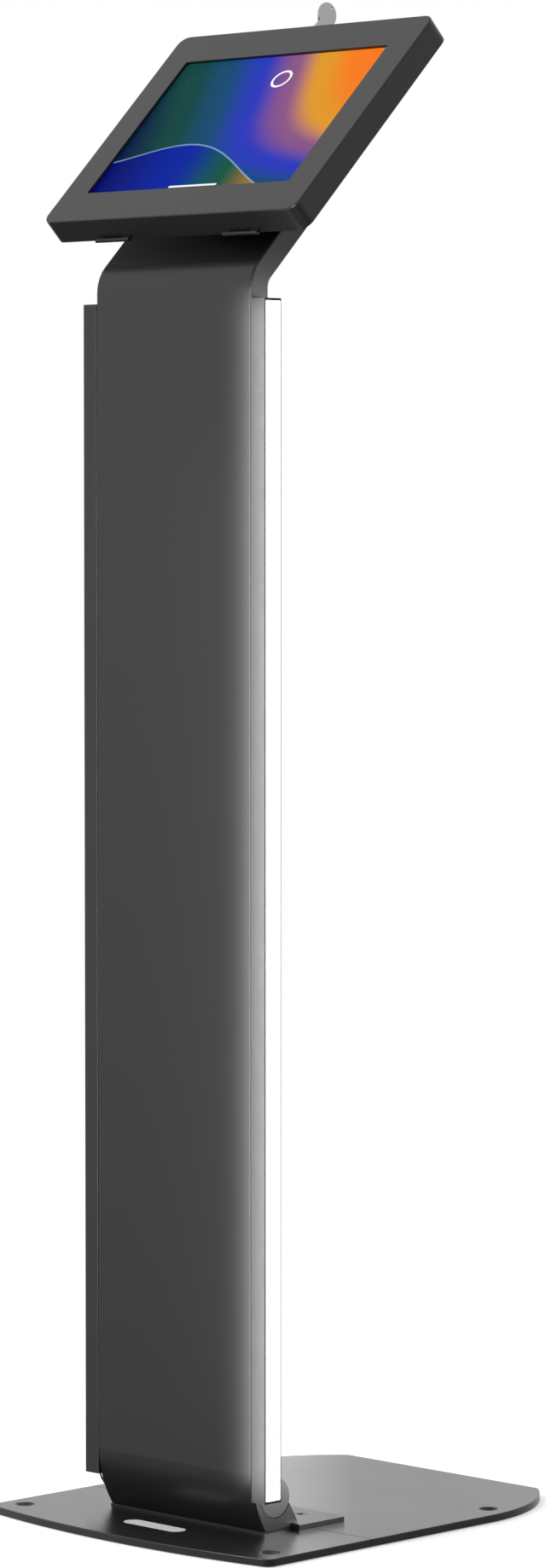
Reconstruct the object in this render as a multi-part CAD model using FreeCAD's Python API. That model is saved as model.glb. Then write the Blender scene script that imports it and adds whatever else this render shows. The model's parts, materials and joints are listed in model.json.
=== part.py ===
import FreeCAD, Part
import math
import os
from FreeCAD import Vector

# Touchscreen floor kiosk. Millimetres, +Z up, front towards -Y, X across the width.
# Everything is drawn with Y = 0 on the front face of the column, then moved so that the
# middle of the base lies on the Z axis.

# --- base plates ---
PLATE_T = 6.0
BASE_HALF_W = 160.0
BASE_FRONT_Y = -69.0          # middle of the curved front edge
BASE_CORNER_Y = -53.0         # ends of the curved front edge
BASE_REAR_Y = 313.0
BASE_SIDE_END_Y = 200.0       # straight sides end here
BASE_REAR_R = 150.0           # the sides then curve in with this radius
BASE_CORNER_R = 8.0
BASE_TOP_EDGE_R = 0.8
BASE_LOW_EDGE_R = 0.4
SEAM_Y = 61.0
SEAM_GAP = 0.8
ANCHOR_HALF_X = 140.0
ANCHOR_Y = (-32.0, 218.0)
ANCHOR_R = 4.25
ANCHOR_SINK_R = 8.25
ANCHOR_SINK_DEPTH = 3.6

# --- column ---
COLUMN_W = 175.0
COLUMN_D = 18.3
SHEET = 2.0
COLUMN_EDGE_R = 1.8           # rounding of the long front edges
FOOT_BEND_R = 80.0            # lower bend, outer face
FOOT_BEND_TOP_Z = 54.5
FOOT_ANGLE = 30.0
TOP_BEND_R = 30.0             # upper bend, outer face
HEAD_TILT = 45.0
PANEL_BOTTOM_Z = 8.1          # the front panel stands on the bracket's toe
RETURN_BOTTOM_Z = 33.5        # light bars and column sides end here, the foot starts
FOOT_REAR_OFFSET = 10.4       # foot rear edge, measured from the cross tube axis

# --- foot bracket ---
FLANGE_T = 5.0
FLANGE_EDGE_R = 0.5
FLANGE_HALF_W = 96.0
FLANGE_FRONT_Y = 21.5
FLANGE_WIDE_Y = 45.0          # from here back the flange is full width
FLANGE_REAR_Y = 96.0
TOE_T = 1.8                   # thin front part of the flange, under the column's panel
TOE_FRONT_Y = 14.2
FOOT_NOTCH_GAP = 0.4          # between the foot's sides and the wide flange
CHEEK_T = 3.0
CHEEK_GAP = 0.6               # between the cheek's front edge and the panel
TUBE_Y, TUBE_Z = 27.2, 33.2
TUBE_R = 12.0
TUBE_WALL = 2.0
EAR_R = 15.0
CAP_R = 16.0
CAP_T = 1.7
CAP_PLUG_LEN = 12.0
CAP_GAP = 0.2
BASE_SCREW_X = (-66.0, -22.0, 22.0, 66.0)
BASE_SCREW_Y = (38.0, 77.0)
BASE_SCREW_R = 2.95
BASE_HEAD_R = 5.6             # countersunk heads, flush with the flange
BASE_HEAD_T = 2.8
FOOT_SCREW_Z = (62.0, 100.0)
FOOT_SCREW_Y = 10.0
TONGUE_REAR_Y = 15.6
TONGUE_TOP_Z = 116.0

# --- inside the column ---
COVER_T = 1.5
COVER_GAP = 0.4
COVER_SCREW_X = (-60.0, 60.0)
RIB_Z = (160.0, 430.0, 700.0, 940.0)
RIB_H = 24.0
COVER_BOTTOM_Z = 130.0
CABLE_Y = 8.5
CABLE_PASS_R = 5.0
LEAD_RUN_X = 70.0             # where the light bar leads climb inside the column
LEAD_PASS_R = 2.5
MODULE_HALF_W = 55.0
MODULE_T = 12.0
MODULE_Z = (240.0, 286.0)
MODULE_EAR = 8.0

# --- light bars ---
LED_W = 15.0
LED_TOP_Z = 975.0
LED_WALL = 1.5
LED_EDGE_R = 0.6
LED_CAP_T = 2.0
DIFFUSER_T = 2.0
BOARD_T = 1.6
BOARD_HALF_W = 3.9
BOARD_MARGIN = 5.0            # from the end caps to the board's ends
CHIP_PITCH = 30.0
CHIP_HALF = 2.5
CHIP_T = 1.4
LED_SCREW_Z = (130.0, 370.0, 610.0, 900.0)
LEAD_R = 0.7
LEAD_X = 94.5
LEAD_BEND_R = 4.0
LEAD_HOLE_R = 2.3
LIP_T = 0.8
LEFT_LEAD_Y = 8.9             # the left lead leaves through the bar's lower end cap
LEFT_LEAD_CORNER_Z = 30.3
LEFT_LEAD_LOOP_R = 10.0
LEAD_ENTRY = {-1: (20.0, 14.5), 1: (8.5, 38.0)}  # Y and Z of the hole in each side

# --- head, in its own axes: u across, s up the slope, n out of the display ---
DISPLAY_Y, DISPLAY_Z = 70.3, 1120.7
HEAD_HALF_U = 142.0
HEAD_HALF_S = 112.0
HEAD_DEPTH = 22.0
HEAD_CORNER_R = 10.0
HEAD_EDGE_R = 1.2
WINDOW_HALF_U = 113.5
WINDOW_HALF_S = 78.75
WINDOW_R = 1.0
ARM_GAP = 16.5                # between back plate and arm
ARM_END_S = 62.0
HINGE_U = 72.0
HINGE_LEN = 38.0
HINGE_MID_LEN = 22.0
KNUCKLE_R = 1.9
PIN_R = 0.9
PIN_CLEARANCE = 0.05
HINGE_N = -20.2
HINGE_S = -HEAD_HALF_S - KNUCKLE_R
ARM_N = -HEAD_DEPTH - ARM_GAP
ARM_SCREWS = [(u, s) for u in (-50.0, 50.0) for s in (-32.0, 32.0)]
VESA_SCREWS = [(u, s) for u in (-37.5, 37.5) for s in (-37.5, 37.5)]
CABLE_HOLE_R = 9.0
BRACKET_T = 3.0
BRACKET_HALF = 44.0
BRACKET_FOOT = 16.0
PLATE_N = -HEAD_DEPTH + SHEET  # front face of the back plate

# --- cam lock, its axis along s at u = 0 ---
LOCK_N = -10.0
LOCK_R = 6.0
COLLAR_R = 8.2
COLLAR_T = 1.6
LOCK_NUT_T = 3.5
CORE_R = 4.2
CORE_CLEARANCE = 0.05
CAM_S = 95.0
CAM_T = 2.0
CAM_HALF_W = 3.6
CAM_REACH = 9.4
SPIGOT = 2.2                  # half width of the square end of the core
BARREL_END_S = CAM_S + CAM_T + 0.4
LOCK_TOP_S = HEAD_HALF_S + COLLAR_T
KEY_HALF_T = 1.0
KEY_HALF_W = 3.0
KEY_BOW_R = 10.4
KEY_BOW_S = LOCK_TOP_S + 22.9
KEY_STEM_HALF_W = 3.4         # shoulder between blade and bow
BLADE_END_S = LOCK_TOP_S - 14.0
CATCH_U = (6.6, 20.0)
CATCH_S = (91.5, 107.0)
CATCH_LEAF_T = 1.8
CATCH_SCREWS = [(15.0, 95.0), (15.0, 103.0)]
ANGLE_T = 1.5                 # sheet of the catch and of the tablet clips

# --- tablet ---
TABLET_HALF_U = 124.3
TABLET_HALF_S = 89.75
TABLET_T = 7.0
TABLET_FRONT_N = -3.2
TABLET_CORNER_R = 18.0
GASKET_W = 8.0
GASKET_T = 1.0
GLASS_T = 0.8
DISPLAY_HALF = (WINDOW_HALF_U + 2.0, WINDOW_HALF_S + 2.0)
DISPLAY_T = 1.4
DISPLAY_R = 3.0
PORT_N = TABLET_FRONT_N - 4.6
PORT_HALF_W = 4.6
PORT_HALF_T = 1.7
PADS = [(u, s) for u in (-95.0, 95.0) for s in (-62.0, 62.0)]
CLIP_SCREWS = [(u, s) for u in (-110.0, 110.0) for s in (-99.5, 99.5)]

# --- screws: shank radius, head radius, head height ---
FOOT_SCREW = (2.45, 4.2, 2.6)
COVER_SCREW = (1.9, 3.8, 2.0)
LED_SCREW = (1.15, 2.8, 1.6)
HEAD_SCREW = (1.85, 3.8, 2.2)
ARM_SCREW = (2.35, 4.4, 2.6)
ANGLE_SCREW = (1.4, 2.8, 1.6)
CAM_SCREW = (0.95, 3.1, 1.4)
THREAD_GAP = 0.05             # round a shank where it is screwed in
PASS_GAP = 0.3                # round a shank where it passes through
TOUCH = 0.05                  # between pieces that fit into each other

ORIGIN_SHIFT = Vector(0, -(BASE_FRONT_Y + BASE_REAR_Y) / 2, 0)
SIN45 = math.sin(math.radians(HEAD_TILT))
# the upper bend starts where its 45-degree end meets the line of the arm
TOP_BEND_Z = DISPLAY_Z - DISPLAY_Y + 2 * ARM_N * SIN45 - TOP_BEND_R * (2 * SIN45 - 1)


# ---------- helpers ----------

def box(x0, x1, y0, y1, z0, z1):
    return Part.makeBox(x1 - x0, y1 - y0, z1 - z0, Vector(x0, y0, z0))


def cylinder(r, base, direction, length):
    return Part.makeCylinder(r, length, base, direction)


def fuse(shapes):
    result = shapes[0]
    for shape in shapes[1:]:
        result = result.fuse(shape)
    return result.removeSplitter()


def cut(shape, tools):
    for tool in tools:
        shape = shape.cut(tool)
    return shape


def export(name, shapes):
    """Write one node. A list of solids becomes a group of separate solids."""
    moved = []
    for shape in shapes:
        for solid in shape.Solids:
            copy = solid.copy()
            copy.translate(ORIGIN_SHIFT)
            moved.append(copy)
    node = moved[0] if len(moved) == 1 else Part.makeCompound(moved)
    node.exportStep("parts/" + name + ".step")


def head_point(u, s, n):
    return Vector(u, DISPLAY_Y + s * SIN45 - n * SIN45, DISPLAY_Z + s * SIN45 + n * SIN45)


def in_head(shape):
    """Turn a shape drawn with x = u, y = s, z = n into its place in the head."""
    placed = shape.copy()
    placed.rotate(Vector(0, 0, 0), Vector(1, 0, 0), HEAD_TILT)
    placed.translate(Vector(0, DISPLAY_Y, DISPLAY_Z))
    return placed


def rounded_block(half_u, half_s, n0, n1, corner_r):
    """Block with rounded upright corners, in head axes before placing."""
    block = box(-half_u, half_u, -half_s, half_s, n0, n1)
    upright = [e for e in block.Edges if abs(e.Vertexes[0].Z - e.Vertexes[1].Z) > (n1 - n0) / 2]
    return block.makeFillet(corner_r, upright)


def yz_prism(points, x0, x1):
    """Straight-sided outline in Y and Z, extruded from x0 to x1."""
    corners = [Vector(x0, y, z) for y, z in points]
    face = Part.Face(Part.makePolygon(corners + [corners[0]]))
    return face.extrude(Vector(x1 - x0, 0, 0))


def smooth_route(points, radii):
    """Wire through the points with an arc at every inner corner, one radius each."""
    edges = []
    start = points[0]
    for before, corner, after, bend_r in zip(points, points[1:], points[2:], radii):
        into = (before - corner).normalize()
        out = (after - corner).normalize()
        half = into.getAngle(out) / 2
        reach = bend_r / math.tan(half)
        mid_dir = (into + out).normalize()
        centre = corner + mid_dir * (bend_r / math.sin(half))
        first = corner + into * reach
        last = corner + out * reach
        middle = centre - mid_dir * bend_r
        edges.append(Part.LineSegment(start, first).toShape())
        edges.append(Part.Arc(first, middle, last).toShape())
        start = last
    edges.append(Part.LineSegment(start, points[-1]).toShape())
    return Part.Wire(edges)


def cord(points, radii, r):
    """Round lead of radius r along the rounded route."""
    route = smooth_route(points, radii)
    section = Part.Wire(Part.makeCircle(r, points[0], points[1] - points[0]))
    return route.makePipeShell([section], True, False)


def level_edges(shape, z):
    """The edges that lie flat at height z."""
    return [e for e in shape.Edges if all(abs(v.Z - z) < 0.01 for v in e.Vertexes)]


def hexagon(r, base, direction, length):
    """Six-sided prism with corner radius r."""
    corners = [Vector(r * math.cos(math.radians(60 * i)), r * math.sin(math.radians(60 * i)), 0)
               for i in range(7)]
    prism = Part.Face(Part.makePolygon(corners)).extrude(Vector(0, 0, length))
    prism.Placement = FreeCAD.Placement(base, FreeCAD.Rotation(Vector(0, 0, 1), direction))
    return prism


def screw(point, direction, size, length):
    """Round-head screw: point is under the head, direction runs along the shank."""
    shank_r, head_r, head_t = size
    top = point - direction * head_t
    shank = cylinder(shank_r, point, direction, length)
    head = cylinder(head_r, top, direction, head_t)
    rim = [e for e in head.Edges if len(e.Vertexes) == 1
           and abs((e.Vertexes[0].Point - top).dot(direction)) < 0.01]
    head = head.makeFillet(head_t * 0.4, rim)
    return cut(fuse([shank, head]), [hexagon(head_r * 0.5, top, direction, head_t * 0.6)])


def sunk_screw(point, direction, shank_r, length, head_r, head_t):
    """Countersunk screw: point is on the surface that its head lies flush with."""
    shank = cylinder(shank_r, point, direction, length)
    head = Part.makeCone(head_r, shank_r, head_t, point, direction)
    return cut(fuse([shank, head]), [hexagon(head_r * 0.45, point, direction, head_t * 0.7)])


# ---------- base ----------

def base_outline():
    """Outline of both plates together, as a face at Z = 0."""
    w = BASE_HALF_W
    centre_x = w - BASE_REAR_R
    reach_x = centre_x + math.sqrt(BASE_REAR_R ** 2 - (BASE_REAR_Y - BASE_SIDE_END_Y) ** 2)
    mid_y = (BASE_SIDE_END_Y + BASE_REAR_Y) / 2
    mid_x = centre_x + math.sqrt(BASE_REAR_R ** 2 - (mid_y - BASE_SIDE_END_Y) ** 2)
    edges = [
        Part.Arc(Vector(-w, BASE_CORNER_Y, 0), Vector(0, BASE_FRONT_Y, 0),
                 Vector(w, BASE_CORNER_Y, 0)).toShape(),
        Part.LineSegment(Vector(w, BASE_CORNER_Y, 0), Vector(w, BASE_SIDE_END_Y, 0)).toShape(),
        Part.Arc(Vector(w, BASE_SIDE_END_Y, 0), Vector(mid_x, mid_y, 0),
                 Vector(reach_x, BASE_REAR_Y, 0)).toShape(),
        Part.LineSegment(Vector(reach_x, BASE_REAR_Y, 0), Vector(-reach_x, BASE_REAR_Y, 0)).toShape(),
        Part.Arc(Vector(-reach_x, BASE_REAR_Y, 0), Vector(-mid_x, mid_y, 0),
                 Vector(-w, BASE_SIDE_END_Y, 0)).toShape(),
        Part.LineSegment(Vector(-w, BASE_SIDE_END_Y, 0), Vector(-w, BASE_CORNER_Y, 0)).toShape(),
    ]
    return Part.Face(Part.Wire(edges))


def base_plates():
    """Front and rear plate, cut from one slab along the seam."""
    outline = base_outline().makeOffset2D(-BASE_CORNER_R).makeOffset2D(BASE_CORNER_R)
    slab = outline.extrude(Vector(0, 0, PLATE_T))
    for z, r in ((PLATE_T, BASE_TOP_EDGE_R), (0, BASE_LOW_EDGE_R)):
        slab = slab.makeFillet(r, level_edges(slab, z))
    tools = []
    for x in (-ANCHOR_HALF_X, ANCHOR_HALF_X):
        for y in ANCHOR_Y:
            tools.append(cylinder(ANCHOR_R, Vector(x, y, -1), Vector(0, 0, 1), PLATE_T + 2))
            tools.append(Part.makeCone(ANCHOR_R, ANCHOR_SINK_R, ANCHOR_SINK_DEPTH,
                                       Vector(x, y, PLATE_T - ANCHOR_SINK_DEPTH), Vector(0, 0, 1)))
    for x in BASE_SCREW_X:
        for y in BASE_SCREW_Y:
            tools.append(cylinder(BASE_SCREW_R + THREAD_GAP, Vector(x, y, -1), Vector(0, 0, 1), PLATE_T + 2))
    slab = cut(slab, tools)
    far = 2 * BASE_HALF_W
    front = slab.common(box(-far, far, -far, SEAM_Y - SEAM_GAP / 2, -1, PLATE_T + 1))
    rear = slab.common(box(-far, far, SEAM_Y + SEAM_GAP / 2, 2 * far, -1, PLATE_T + 1))
    return front, rear


def foot_rear_line(z):
    """Y of the foot's slanted rear edge at height z."""
    slant = math.radians(FOOT_ANGLE)
    y0 = TUBE_Y + math.cos(slant) * FOOT_REAR_OFFSET
    z0 = TUBE_Z + math.sin(slant) * FOOT_REAR_OFFSET
    return y0 + (z0 - z) * math.tan(slant)


def foot_front_points(offset, bottom_z):
    """Points up the column's front line from bottom_z to the top of the lower bend."""
    points = []
    slant = math.radians(FOOT_ANGLE)
    for step in range(6):
        angle = slant * (5 - step) / 5
        r = FOOT_BEND_R - offset
        points.append((FOOT_BEND_R - r * math.cos(angle), FOOT_BEND_TOP_Z - r * math.sin(angle)))
    y, z = points[0]
    return [(y + (z - bottom_z) * math.tan(slant), bottom_z)] + points


def cheek(x0, x1):
    front = foot_front_points(SHEET + CHEEK_GAP, PLATE_T)
    top = front[-1][0], TONGUE_TOP_Z
    rear = [(TONGUE_REAR_Y, TONGUE_TOP_Z), (TONGUE_REAR_Y, TUBE_Z + 10),
            (foot_rear_line(TUBE_Z) - 4, TUBE_Z), (foot_rear_line(PLATE_T) - 2, PLATE_T)]
    body = yz_prism(front + [top] + rear, x0, x1)
    ear = cylinder(EAR_R, Vector(x0, TUBE_Y, TUBE_Z), Vector(1, 0, 0), x1 - x0)
    right = Vector(1, 0, 0)
    holes = [cylinder(TUBE_R - TUBE_WALL, Vector(x0 - 1, TUBE_Y, TUBE_Z), right, CHEEK_T + 2)]
    holes += [cylinder(FOOT_SCREW[0] + PASS_GAP, Vector(x0 - 1, FOOT_SCREW_Y, z), right, CHEEK_T + 2)
              for z in FOOT_SCREW_Z]
    return cut(fuse([body, ear]), holes)


def foot_bracket():
    cheek_x = COLUMN_W / 2 - SHEET
    top_z = PLATE_T + FLANGE_T
    wide = box(-FLANGE_HALF_W, FLANGE_HALF_W, FLANGE_WIDE_Y, FLANGE_REAR_Y, PLATE_T, top_z)
    wide = wide.makeFillet(FLANGE_EDGE_R, level_edges(wide, top_z))
    toe = box(-COLUMN_W / 2, COLUMN_W / 2, TOE_FRONT_Y, FLANGE_WIDE_Y + 1, PLATE_T, PLATE_T + TOE_T)
    parts = [box(-cheek_x, cheek_x, FLANGE_FRONT_Y, FLANGE_REAR_Y - 1, PLATE_T, top_z), wide, toe,
             cheek(-cheek_x, -cheek_x + CHEEK_T), cheek(cheek_x - CHEEK_T, cheek_x)]
    tools = [lead_hole(-1), lead_hole(1)]
    for x in BASE_SCREW_X:
        for y in BASE_SCREW_Y:
            hole_r = BASE_SCREW_R + TOUCH
            tools.append(cylinder(hole_r, Vector(x, y, PLATE_T - 1), Vector(0, 0, 1), FLANGE_T + 2))
            tools.append(Part.makeCone(hole_r, BASE_HEAD_R + TOUCH, BASE_HEAD_T,
                                       Vector(x, y, top_z - BASE_HEAD_T), Vector(0, 0, 1)))
    return cut(fuse(parts), tools)


def base_screws():
    return [sunk_screw(Vector(x, y, PLATE_T + FLANGE_T - TOUCH), Vector(0, 0, -1), BASE_SCREW_R,
                       FLANGE_T + PLATE_T - 1, BASE_HEAD_R, BASE_HEAD_T)
            for x in BASE_SCREW_X for y in BASE_SCREW_Y]


def foot_screws():
    inner = COLUMN_W / 2 - SHEET - CHEEK_T
    return [screw(Vector(side * inner, FOOT_SCREW_Y, z), Vector(side, 0, 0), FOOT_SCREW,
                  CHEEK_T + SHEET - 0.2)
            for side in (-1, 1) for z in FOOT_SCREW_Z]


def cross_tube():
    half = COLUMN_W / 2 - SHEET - CHEEK_T
    start = Vector(-half, TUBE_Y, TUBE_Z)
    outer = cylinder(TUBE_R, start, Vector(1, 0, 0), 2 * half)
    return cut(outer, [cylinder(TUBE_R - TUBE_WALL, start, Vector(1, 0, 0), 2 * half)])


def tube_caps():
    """Flat round caps with a hollow plug that sits in the cheek and the tube."""
    face_x = COLUMN_W / 2 - SHEET
    plug_r = TUBE_R - TUBE_WALL - TOUCH
    caps = []
    for side in (-1, 1):
        out = Vector(side, 0, 0)
        disc = cylinder(CAP_R, Vector(side * face_x, TUBE_Y, TUBE_Z), out, CAP_T)
        disc = disc.makeChamfer(0.5, [e for e in disc.Edges if len(e.Vertexes) == 1
                                      and abs(abs(e.Vertexes[0].X) - face_x - CAP_T) < 0.01])
        plug = cylinder(plug_r, Vector(side * face_x, TUBE_Y, TUBE_Z), out * -1, CAP_PLUG_LEN)
        bore = cylinder(plug_r - 2, Vector(side * (face_x - 1), TUBE_Y, TUBE_Z), out * -1, CAP_PLUG_LEN)
        caps.append(cut(fuse([disc, plug]), [bore]))
    return caps


# ---------- column ----------

def front_path(offset):
    """Edges of the column's front line in Y and Z at X = 0, moved inwards by offset."""
    foot = math.radians(FOOT_ANGLE)
    tilt = math.radians(HEAD_TILT)

    def on_foot(angle):
        r = FOOT_BEND_R - offset
        return Vector(0, FOOT_BEND_R - r * math.cos(angle), FOOT_BEND_TOP_Z - r * math.sin(angle))

    def on_top(angle):
        r = TOP_BEND_R - offset
        return Vector(0, TOP_BEND_R - r * math.cos(angle), TOP_BEND_Z + r * math.sin(angle))

    run = on_foot(foot).z - PANEL_BOTTOM_Z
    bottom = on_foot(foot) + Vector(0, run * math.tan(foot), -run)
    arm_end = head_point(0, ARM_END_S, ARM_N - offset)
    return [Part.LineSegment(bottom, on_foot(foot)).toShape(),
            Part.Arc(on_foot(foot), on_foot(foot / 2), on_foot(0)).toShape(),
            Part.LineSegment(on_foot(0), on_top(0)).toShape(),
            Part.Arc(on_top(0), on_top(tilt / 2), on_top(tilt)).toShape(),
            Part.LineSegment(on_top(tilt), arm_end).toShape()]


def band(offset_a, offset_b, x0, x1):
    """Solid between two copies of the front path."""
    outer = front_path(offset_a)
    inner = front_path(offset_b)
    a0, a1 = outer[0].Vertexes[0].Point, outer[-1].Vertexes[-1].Point
    b0, b1 = inner[0].Vertexes[0].Point, inner[-1].Vertexes[-1].Point
    loop = outer + [Part.LineSegment(a1, b1).toShape()] + inner + [Part.LineSegment(b0, a0).toShape()]
    face = Part.Face(Part.Wire(Part.__sortEdges__(loop)))
    solid = face.extrude(Vector(x1 - x0, 0, 0))
    solid.translate(Vector(x0, 0, 0))
    return solid


def foot_side(x0, x1):
    """Side of the column below the light bars: slanted and deeper than the column."""
    lap = SHEET - 0.15
    front = [(y, z) for y, z in foot_front_points(lap, PANEL_BOTTOM_Z) if z < RETURN_BOTTOM_Z + 6]
    top_z = front[-1][1]
    notch_z = PLATE_T + FLANGE_T + FOOT_NOTCH_GAP
    notch_y = FLANGE_WIDE_Y - FOOT_NOTCH_GAP
    rear = [(foot_rear_line(top_z), top_z), (foot_rear_line(notch_z), notch_z),
            (notch_y, notch_z), (notch_y, PANEL_BOTTOM_Z)]
    return yz_prism(front + rear, x0, x1)


def lead_hole(side):
    """Hole in the side of the foot for the light bar lead."""
    start = Vector(side * (COLUMN_W / 2 + 1), *LEAD_ENTRY[side])
    return cylinder(LEAD_HOLE_R, start, Vector(-side, 0, 0), SHEET + CHEEK_T + 2)


def column_block():
    """The whole column and arm as one solid, with its long front edges rounded."""
    half = COLUMN_W / 2
    block = band(0, COLUMN_D, -half, half)
    front_line = Part.Wire(front_path(0))
    front_edges = []
    for edge in block.Edges:
        middle = edge.valueAt((edge.FirstParameter + edge.LastParameter) / 2)
        to_line = Part.Vertex(0, middle.y, middle.z).distToShape(front_line)[0]
        if abs(middle.x) > half - 0.01 and to_line < 0.01:
            front_edges.append(edge)
    return block.makeFillet(COLUMN_EDGE_R, front_edges)


def column_shell():
    """Front panel, sides, foot sides and arm, folded and welded from one sheet."""
    half = COLUMN_W / 2
    block = column_block()
    above_foot = box(-half - 1, half + 1, -100, 300, RETURN_BOTTOM_Z, 2000)
    cap_space = cylinder(CAP_R + CAP_GAP, Vector(-half - 1, TUBE_Y, TUBE_Z), Vector(1, 0, 0), 2 * half + 2)
    parts = [band(0, SHEET, -half, half).common(block)]
    for x0 in (-half, half - SHEET):
        side = band(0, COLUMN_D, x0, x0 + SHEET).common(block).common(above_foot)
        parts.append(cut(fuse([side, foot_side(x0, x0 + SHEET)]), [cap_space]))
    end_plate = in_head(box(-half, half, ARM_END_S - SHEET, ARM_END_S, ARM_N - COLUMN_D, ARM_N))
    parts.append(end_plate.common(block))
    right, down = Vector(1, 0, 0), Vector(0, 0, -1)
    tools = [cylinder(LED_SCREW[0] + PASS_GAP, Vector(-half - 1, COLUMN_D / 2, z), right, 2 * half + 2)
             for z in LED_SCREW_Z]
    tools += [cylinder(FOOT_SCREW[0] + THREAD_GAP, Vector(-half - 1, FOOT_SCREW_Y, z), right, 2 * half + 2)
              for z in FOOT_SCREW_Z]
    tools += [in_head(cylinder(ARM_SCREW[0] + PASS_GAP, Vector(u, s, ARM_N + 1), down, SHEET + 2))
              for u, s in ARM_SCREWS]
    tools.append(in_head(cylinder(CABLE_HOLE_R, Vector(0, 0, ARM_N + 1), down, SHEET + 2)))
    return cut(fuse(parts), tools + [lead_hole(-1), lead_hole(1)])


def rear_cover():
    """Bent cover that closes the back between the two column sides."""
    half = COLUMN_W / 2 - SHEET - COVER_GAP
    cover = band(COLUMN_D - COVER_T, COLUMN_D, -half, half)
    cover = cover.common(box(-half - 1, half + 1, -100, 300, COVER_BOTTOM_Z, 2000))
    past_end = box(-200, 200, ARM_END_S - SHEET - COVER_GAP, ARM_END_S + 40, -100, 0)
    screw_holes = [cylinder(COVER_SCREW[0] + PASS_GAP, Vector(x, COLUMN_D - COVER_T - 1, z),
                            Vector(0, 1, 0), COVER_T + 2)
                   for x in COVER_SCREW_X for z in RIB_Z]
    return cut(cover, [in_head(past_end)] + screw_holes)


def column_ribs():
    """Channels across the inside of the column; the cover screws go into them."""
    half = COLUMN_W / 2 - SHEET
    back_y = COLUMN_D - COVER_T
    ribs = []
    for z in RIB_Z:
        z0, z1 = z - RIB_H / 2, z + RIB_H / 2
        rib = fuse([box(-half, half, back_y - SHEET, back_y, z0, z1),
                    box(-half, half, SHEET, back_y, z0, z0 + SHEET),
                    box(-half, half, SHEET, back_y, z1 - SHEET, z1)])
        tools = [cylinder(COVER_SCREW[0] + THREAD_GAP, Vector(x, back_y - SHEET - 1, z),
                          Vector(0, 1, 0), SHEET + 2) for x in COVER_SCREW_X]
        tools.append(cylinder(CABLE_PASS_R, Vector(0, CABLE_Y, z0 - 1), Vector(0, 0, 1), RIB_H + 2))
        tools += [cylinder(LEAD_PASS_R, Vector(x, CABLE_Y, z0 - 1), Vector(0, 0, 1), RIB_H + 2)
                  for x in (-LEAD_RUN_X, LEAD_RUN_X)]
        ribs.append(cut(rib, tools))
    return ribs


def cover_screws():
    return [screw(Vector(x, COLUMN_D, z), Vector(0, -1, 0), COVER_SCREW, COVER_T + SHEET + 1)
            for x in COVER_SCREW_X for z in RIB_Z]


# ---------- light bars ----------

def bar_block(side, z0, z1):
    """Piece of the light bar's outer shape, with rounded upright edges."""
    x0, x1 = sorted((side * COLUMN_W / 2, side * (COLUMN_W / 2 + LED_W)))
    block = box(x0, x1, 0, COLUMN_D, z0, z1)
    return block.makeFillet(LED_EDGE_R, [e for e in block.Edges
                                         if abs(e.Vertexes[0].Z - e.Vertexes[1].Z) > 0.1])


def led_housing(side):
    """Channel open to the outside, with ledges that the diffuser rests on."""
    x_in = side * COLUMN_W / 2
    x_out = side * (COLUMN_W / 2 + LED_W)
    z0, z1 = RETURN_BOTTOM_Z + LED_CAP_T, LED_TOP_Z - LED_CAP_T
    body = bar_block(side, z0, z1)
    hx0, hx1 = sorted((x_in + side * LED_WALL, x_out + side))
    hollow = box(hx0, hx1, LED_WALL, COLUMN_D - LED_WALL, z0 - 1, z1 + 1)
    lx0, lx1 = sorted((x_out - side * (DIFFUSER_T + 1.0), x_out - side * (DIFFUSER_T + 0.1)))
    ledges = [box(lx0, lx1, LED_WALL, LED_WALL + 1, z0, z1),
              box(lx0, lx1, COLUMN_D - LED_WALL - 1, COLUMN_D - LED_WALL, z0, z1)]
    body = fuse([cut(body, [hollow])] + ledges)
    inward = Vector(side, 0, 0)
    holes = [cylinder(LED_SCREW[0] + THREAD_GAP, Vector(x_in - side, COLUMN_D / 2, z), inward, LED_WALL + 2)
             for z in LED_SCREW_Z]
    if side > 0:
        holes.append(cylinder(LEAD_HOLE_R, Vector(x_in - side, *LEAD_ENTRY[side]), inward, LED_WALL + 2))
    return cut(body, holes)


def led_diffuser(side):
    x_out = side * (COLUMN_W / 2 + LED_W)
    x0, x1 = sorted((x_out - side * (DIFFUSER_T + TOUCH), x_out - side * TOUCH))
    z0, z1 = RETURN_BOTTOM_Z + LED_CAP_T + TOUCH, LED_TOP_Z - LED_CAP_T - TOUCH
    return box(x0, x1, LED_WALL + TOUCH, COLUMN_D - LED_WALL - TOUCH, z0, z1)


def led_board(side):
    """Strip with its row of LED chips, stuck to the inner wall of the housing."""
    x_in = side * (COLUMN_W / 2 + LED_WALL)
    z0, z1 = RETURN_BOTTOM_Z + LED_CAP_T + BOARD_MARGIN, LED_TOP_Z - LED_CAP_T - BOARD_MARGIN
    middle_y = COLUMN_D / 2
    x0, x1 = sorted((x_in, x_in + side * BOARD_T))
    strip = box(x0, x1, middle_y - BOARD_HALF_W, middle_y + BOARD_HALF_W, z0, z1)
    strip = cut(strip, [cylinder(LED_SCREW[1] - 0.2, Vector(x_in - side, middle_y, z), Vector(side, 0, 0),
                                 BOARD_T + 2) for z in LED_SCREW_Z])
    chips = []
    cx0, cx1 = sorted((x_in + side * BOARD_T, x_in + side * (BOARD_T + CHIP_T)))
    z = z0 + CHIP_PITCH / 4
    while z < z1 - CHIP_HALF:
        if min(abs(z - zs) for zs in LED_SCREW_Z) > 2 * LED_SCREW[1]:
            chips.append(box(cx0, cx1, middle_y - CHIP_HALF, middle_y + CHIP_HALF,
                             z - CHIP_HALF, z + CHIP_HALF))
        z += CHIP_PITCH
    return fuse([strip] + chips)


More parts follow.
